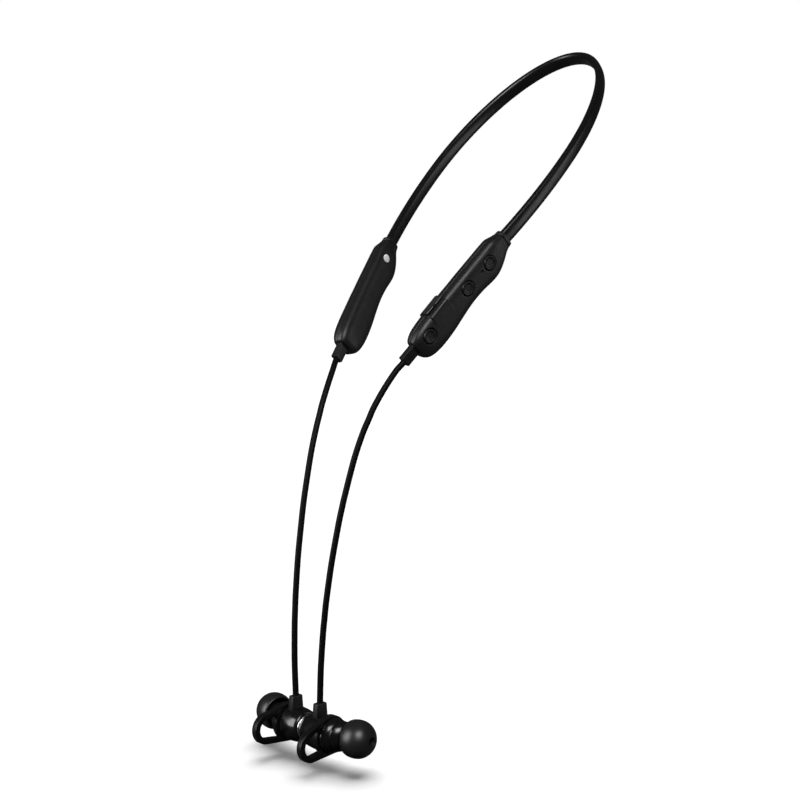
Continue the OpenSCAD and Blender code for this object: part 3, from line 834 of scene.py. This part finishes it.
def make_relief(side):
    """The flat strain relief and its plug in the pod's end."""
    block = box_piece(f"{side}_strain_relief", (RELIEF_W, RELIEF_T, RELIEF_LEN + 2),
                      (RELIEF_X, 0, POD_LEN + RELIEF_LEN / 2 - 1), POD[side])
    plug = box_piece("plug", RELIEF_PLUG, (RELIEF_X - 0.45, 0, POD_LEN - RELIEF_SUNK), POD[side])
    combine(block, [plug], "UNION")
    bevel(block, 0.35)
    dress(tidy_mesh(block), f"{side}_relief")


# ---- buttons, flap ----

# the raised marks: a level bar, an upright one and their width and thickness
MARK_LEN, MARK_HEIGHT, MARK_W, MARK_T = 1.5, 1.52, 0.3, 0.16


def make_button(name):
    """A cap with a rounded rim round a shallow dish, with a small raised mark."""
    top = BUTTON_TOP - BUTTON_FOOT
    rim, dish = BUTTON_R - 0.55, 0.26
    profile = [(0, 0), (BUTTON_R, 0), (BUTTON_R, top - 0.25), (BUTTON_R - 0.06, top - 0.1),
               (BUTTON_R - 0.2, top - 0.01), (BUTTON_R - 0.33, top), (rim, top - 0.05),
               (rim - 0.18, top - 0.6 * dish), (rim - 0.32, top - 0.92 * dish),
               (rim - 0.55, top - dish - 0.02), (0, top - dish)]
    seat = POD["left"] @ on_face(BUTTONS[name], BUTTON_FOOT)
    cap = turned_piece(f"{name}_button_cap", profile, seat, 72)
    floor = top - dish
    if name == "middle":
        ring = [(0.5, floor - 0.1), (0.72, floor - 0.1), (0.72, floor + 0.05), (0.5, floor + 0.05)]
        marks = [turned_piece("mark", ring, seat, 48)]
    else:
        level, upright = (MARK_LEN, MARK_W), (MARK_W, MARK_HEIGHT)
        bars = [level] if name == "lower" else [level, upright]
        marks = [box_piece("mark", (a, b, MARK_T), (0, 0, floor), seat) for a, b in bars]
    combine(cap, marks, "UNION")
    dress(tidy_mesh(cap), f"{name}_button")


def make_flap():
    """The rubber lid of the charging port, with a nail notch and its plug."""
    lid = box_piece("port_lid", (FLAP_T, FLAP_W, FLAP_LEN),
                    (FLAP_FACE + FLAP_T / 2, 0, PORT_Z), POD["left"])
    bevel(lid, 0.5, 6)
    notch = box_piece("cutter", FLAP_NOTCH, (FLAP_FACE + FLAP_T, FLAP_W / 2, PORT_Z),
                      POD["left"])
    combine(lid, [notch], "DIFFERENCE")
    plug = box_piece("plug", FLAP_PLUG, (FLAP_FACE - 0.4, 0, PORT_Z - 0.2), POD["left"])
    combine(lid, [plug], "UNION")
    dress(tidy_mesh(lid), "port_flap")


# ---- buds ----

# share of the ear tip's offset that the housing leans for each millimetre of its length
HOUSING_LEAN = 0.13
# the hollow inside the housing, and the stretch over which a wing's loop bends out
CAVITY_R, CAVITY_END = 4.2, 13.4
WING_BEND_START, WING_BEND_LEN = 6.1, 4


def make_collar(side):
    """The tapered block that takes the cord, moulded on the barrel."""
    section = []
    for height, width in ((COLLAR_BASE, COLLAR_FOOT_W), (COLLAR_TOP, COLLAR_TOP_W)):
        w, t = width / 2, COLLAR_T / 2
        section.append([(-height, COLLAR_Y + a, COLLAR_X + b)
                        for a, b in ((-w, -t), (w, -t), (w, t), (-w, t))])
    piece = new_piece(f"{side}_cord_collar", *skin(section), BUD[side])
    bevel(piece, 0.35, 4)
    dress(tidy_mesh(piece), f"{side}_collar")


def make_barrel(side):
    """The gloss shell round the driver, full in the middle, and the groove for the wing."""
    inner = RING_R - RING_BAND
    profile = [
        (inner, 0.9), (4.55, 0.9), (4.74, 0.94), (4.95, 1.08), (5.13, 1.32), (5.3, 1.7),
        (5.45, 2.25), (5.58, 3.0), (5.7, 3.9), (5.79, 4.9), (5.86, 6.0), (BARREL_R, 7.0),
        (BARREL_R, 7.7), (BARREL_R - 0.03, 8.3), (BARREL_R - 0.13, 8.7), (BARREL_R - 0.3, 8.9),
        (GROOVE_R, 8.9), (GROOVE_R, BARREL_LEN), (4.7, BARREL_LEN), (4.7, 3.9), (inner, 2.5),
    ]
    piece = turned_piece(f"{side}_barrel_shell", profile, BUD[side], 128)
    dress(tidy_mesh(piece, sharp=40), f"{side}_barrel")


def make_ring(side):
    """The bright ring round the magnet face."""
    near, far, inner = MAGNET_FACE, MAGNET_FACE + RING_LEN, RING_R - RING_BAND
    profile = [(inner, near + 0.1), (inner + 0.08, near), (RING_R - 0.45, near),
               (RING_R - 0.12, near + 0.24), (RING_R, near + 0.4), (RING_R, far), (inner, far)]
    piece = turned_piece(f"{side}_magnet_ring", profile, BUD[side], 128)
    dress(tidy_mesh(piece, sharp=50), f"{side}_ring")


def make_housing(side):
    """The domed front of a bud, leaning to the tip, with a fine groove and the nozzle."""
    front = BARREL_LEN + 0.05
    dome = [(5.5, front), (5.64, front + 0.06), (5.7, front + 0.2), (5.7, 12.3), (5.63, 12.8),
            (5.48, 13.2), (5.3, 13.55), (5.13, 13.82), (5.02, 13.95), (4.93, 14.02),
            (4.9, 14.1), (4.9, 14.33), (4.94, 14.41), (5.02, 14.48), (5.04, 14.65),
            (4.97, 14.95), (4.8, 15.4), (4.58, 15.85), (4.3, 16.3), (3.95, 16.7),
            (3.55, 17.05), (3.1, 17.3), (2.6, 17.45)]
    rings = []
    for r, z in dome:
        lean = HOUSING_LEAN * (z - front)
        rings.append([(x - lean * TIP_UP, y + lean * TIP_BACK, z)
                      for x, y in circle_loop(r, 128)])
    piece = new_piece(f"{side}_front_dome", *skin(rings), BUD[side])
    low, high = NOZZLE_FROM, NOZZLE_TO
    stem = [(0, low), (NOZZLE_R, low), (NOZZLE_R, high - 0.2), (NOZZLE_R - 0.2, high), (0, high)]
    nozzle = turned_piece("nozzle", stem, BUD[side] @ NOZZLE, 72)
    combine(piece, [nozzle], "UNION")
    r, reach = NOZZLE_R - NOZZLE_WALL, 9
    bore = turned_piece("cutter", [(0, -reach), (r, -reach), (r, reach), (0, reach)],
                        BUD[side] @ NOZZLE, 48)
    r, low, high = CAVITY_R, front - 1, CAVITY_END
    cavity = turned_piece("cutter", [(0, low), (r, low), (r, high), (0, high)], BUD[side], 64)
    combine(piece, [bore, cavity], "DIFFERENCE")
    dress(tidy_mesh(piece, sharp=40), f"{side}_front_housing")


def make_tip(side):
    """The soft silicone mushroom: a near-round dome, a rolled skirt and a stem."""
    bore = NOZZLE_R + 0.05
    outside = smoothed([(5.05, -3.15), (5.42, -3.25), (5.88, -2.4), (6.15, -1.1), (6.2, 0.3),
                        (6.0, 1.7), (5.5, 3.0), (4.65, 4.2), (3.6, 5.1), (2.6, 5.65),
                        (1.95, 5.85)], 5)
    mouth = [(1.7, 5.8), (1.6, 5.55), (1.6, 3.9), (bore, 3.9), (bore, -2.8), (bore + 0.8, -2.8)]
    inside = smoothed([(bore + 0.85, -2.6), (bore + 0.9, 0), (bore + 1.0, 2.0),
                       (bore + 1.6, 3.0), (4.3, 2.8), (5.1, 1.2), (5.35, -0.6), (5.2, -2.2),
                       (4.95, -2.95)], 4)
    profile = [(p[0], p[1]) for p in outside] + mouth + [(p[0], p[1]) for p in inside]
    piece = turned_piece(f"{side}_silicone_tip", profile, BUD[side] @ NOZZLE, 128)
    dress(tidy_mesh(piece, sharp=50), f"{side}_ear_tip")


def hull_tangent(r1, r2, reach):
    """The angle of the straight sides of a hull round two circles."""
    return math.asin((r1 - r2) / reach)


def hull_loop(r1, r2, reach, steps=48):
    """The outline of a hull round a circle at the origin and a circle at reach along X."""
    side = math.pi / 2 - hull_tangent(r1, r2, reach)
    return (arc(reach, r2, -side, side, steps)
            + arc(0, r1, side, 2 * math.pi - side, steps))


def loop_hole(steps=40):
    """The outline of the wing's opening, between its loop and its sleeve."""
    inner, hole = WING_SLEEVE_R - LOOP_RIM, LOOP_R - LOOP_RIM
    lean = hull_tangent(inner, hole, LOOP_REACH)
    along = math.sqrt(WING_SLEEVE_R ** 2 - inner ** 2)
    corner = math.atan2(inner * math.cos(lean) - along * math.sin(lean),
                        inner * math.sin(lean) + along * math.cos(lean))
    side = math.pi / 2 - lean
    return (arc(LOOP_REACH, hole, -side, side, steps)
            + arc(0, WING_SLEEVE_R, corner, -corner, steps // 2))


def prism(name, loop, low, high, place):
    """A flat piece with the loop as its outline, from low to high along Z."""
    rings = [[(x, y, z) for x, y in loop] for z in (low, high)]
    return new_piece(name, *skin(rings), place)


def make_wing(side):
    """The soft loop, canted to the tip, and the sleeve that holds it on the barrel."""
    name = f"{side}_wing_loop"
    flat = Matrix.Identity(4)
    piece = prism(name, hull_loop(WING_SLEEVE_R, LOOP_R, LOOP_REACH), 0, WING_T, flat)
    hole = prism("cutter", loop_hole(), -1, WING_T + 1, flat)
    bore = prism("cutter", circle_loop(GROOVE_R + 0.05, 96), -1, WING_T + 1, flat)
    combine(piece, [hole, bore], "DIFFERENCE")
    bevel(piece, 0.5, 5, 40)
    turn = WING_TURN[side] - math.pi / 2
    place = BUD[side] @ Matrix.Translation((0, 0, WING_X)) @ Matrix.Rotation(turn, 4, "Z")
    for vertex in piece.data.vertices:
        share = min(1, max(0, (vertex.co.x / MM - WING_BEND_START) / WING_BEND_LEN))
        bent = vertex.co + Vector((0, 0, share * LOOP_CANT * MM))
        vertex.co = (place @ (bent / MM)) * MM
    dress(tidy_mesh(piece, sharp=45), f"{side}_ear_wing")


def dress_inner_parts():
    """The parts inside the band, the pods and the buds keep the CAD's shapes."""
    for node, piece in frame["nodes"].items():
        if not piece.hide_render:
            piece.data.materials.clear()
            piece.data.materials.append(MATERIALS[slot_of_node[node]])


# ---- light and floor ----

def seen_or_lit(tree, seen, lit):
    """One strength for the pale stage itself, and a lower one for the light it throws."""
    path = tree.nodes.new("ShaderNodeLightPath")
    choice = tree.nodes.new("ShaderNodeMapRange")
    choice.inputs["To Min"].default_value = lit
    choice.inputs["To Max"].default_value = seen
    tree.links.new(path.outputs["Is Camera Ray"], choice.inputs["Value"])
    return choice.outputs["Result"]


def make_floor():
    """A wide pale floor under the buds, clear of the ear wings at their lowest turn."""
    lowest = cad_box[0][2] - FLOOR_GAP
    ring = [(x, y, 0) for x, y in circle_loop(12000, 96)]
    floor = new_piece("floor", ring, [tuple(range(len(ring)))],
                      Matrix.Translation((0, 0, lowest / MM)))
    material = shader("floor_paper", (0.9, 0.9, 0.9), 0.9, Specular_IOR_Level=0.0)
    tree = material.node_tree
    connect(material, seen_or_lit(tree, FLOOR_SEEN, FLOOR_TONE), "Base Color")
    tree.nodes["Principled BSDF"].inputs["Emission Color"].default_value = (1, 1, 1, 1)
    connect(material, seen_or_lit(tree, SHADOW_LIFT, 0), "Emission Strength")
    relief(material, noise(material, 1.2, detail=4, seed=61), 0.01)
    floor.data.materials.append(material)
    return floor


def area_light(name, place, target, size, power):
    """A rectangular soft light that faces its target."""
    data = bpy.data.lights.new(name, "AREA")
    data.shape = "RECTANGLE"
    data.size, data.size_y = size
    data.energy = power
    light = bpy.data.objects.new(name, data)
    light.location = place
    light.rotation_euler = (Vector(target) - Vector(place)).to_track_quat("-Z", "Y").to_euler()
    bpy.context.scene.collection.objects.link(light)
    return light


def spared(name, pieces):
    """A collection of the pieces that a light leaves out."""
    group = bpy.data.collections.new(name)
    for piece in pieces:
        group.objects.link(piece)
    for member in group.collection_objects:
        member.light_linking.link_state = "EXCLUDE"
    return group


def make_room():
    """A pale room that throws only a little light."""
    world = bpy.data.worlds.new("studio")
    world.use_nodes = True
    background = world.node_tree.nodes["Background"]
    background.inputs["Color"].default_value = (1, 1, 1, 1)
    strength = seen_or_lit(world.node_tree, ROOM_SEEN, ROOM_LIGHT)
    world.node_tree.links.new(strength, background.inputs["Strength"])
    bpy.context.scene.world = world
    bpy.context.scene.view_settings.view_transform = "Standard"


def make_sun():
    """The wide soft light from above and behind that makes the shadow on the floor."""
    data = bpy.data.lights.new("sun", "SUN")
    data.energy = SUN_LIGHT
    data.angle = SUN_ANGLE
    sun = bpy.data.objects.new("sun", data)
    sun.rotation_euler = Vector((0.2, -0.3, -0.93)).to_track_quat("-Z", "Y").to_euler()
    sun.visible_glossy = False
    bpy.context.scene.collection.objects.link(sun)


def make_lights(floor):
    """A key at the right, a tall box at the left front, and a rim light behind the right."""
    middle = Vector((0, -0.12, -0.14))
    no_floor = spared("no_floor", [floor])
    tips = [bpy.data.objects[f"{side}_silicone_tip"] for side in ("left", "right")]
    no_tips = spared("no_tips", [floor, *tips])
    for name, direction, size, power, left_out in (
            ("key", (0.63, -0.46, 0.62), (0.45, 0.45), 5.5, no_floor),
            ("tall_box", (-0.42, -0.87, 0.2), (0.4, 0.8), 6, no_floor),
            ("right_rim", (0.74, 0.66, 0.06), (0.22, 0.7), 0.9, no_tips)):
        place = middle + Vector(direction) * LIGHT_DISTANCE
        light = area_light(name, place, middle, size, power)
        light.light_linking.receiver_collection = left_out


# ---- the whole ----

make_camera()
for side in ("left", "right"):
    make_cord(side)
make_band()
make_shells()
for button in BUTTONS:
    make_button(button)
make_flap()
for side in ("left", "right"):
    make_badge(side)
    make_relief(side)
    make_collar(side)
    make_barrel(side)
    make_ring(side)
    make_housing(side)
    make_tip(side)
    make_wing(side)
dress_inner_parts()
make_room()
make_sun()
make_lights(make_floor())
